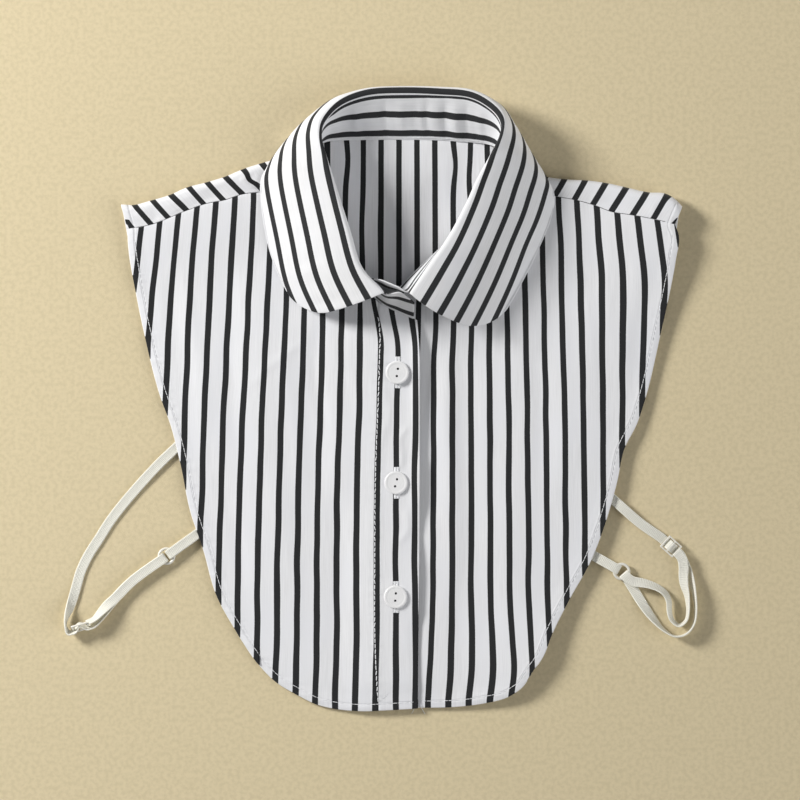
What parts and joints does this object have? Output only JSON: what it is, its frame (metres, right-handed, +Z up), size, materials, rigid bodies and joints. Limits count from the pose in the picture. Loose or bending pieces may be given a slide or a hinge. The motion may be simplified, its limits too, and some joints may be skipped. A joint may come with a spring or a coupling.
{
  "type": "detachable shirt collar",
  "caption": "False shirt collar lying flat: striped cotton fronts and back, standing collar with rounded leaf, buttoned front and adjustable elastic side straps",
  "frame": {"origin": "on the table, below the middle of the garment without its straps", "axes": "+Z up from the table, +Y from the hem to the back of the neck, +X to the viewer's right"},
  "size_m": [0.3544, 0.3491, 0.0294],
  "materials": {
    "striped_cotton": "plain woven cotton, white with woven charcoal stripes, matte",
    "collar_cotton": "the same striped cotton over interlining, pressed, stripes running round the neck",
    "button_plastic": "white resin, satin, dished, two holes",
    "elastic_band": "cream ribbed elastic, soft sheen",
    "coated_fitting": "cream nylon coating, satin"
  },
  "bodies": {
    "root": {"back": "striped_cotton", "front_left": "striped_cotton", "front_right": "striped_cotton", "collar_stand": "collar_cotton", "collar_leaf": "collar_cotton", "button_top": "button_plastic", "button_middle": "button_plastic", "button_bottom": "button_plastic", "tab_left": "elastic_band", "tab_right": "elastic_band", "strap_left": "elastic_band", "strap_right": "elastic_band", "ring_left": "coated_fitting", "ring_right": "coated_fitting", "slider_left": "coated_fitting", "slider_right": "coated_fitting"}
  },
  "joints": []
}
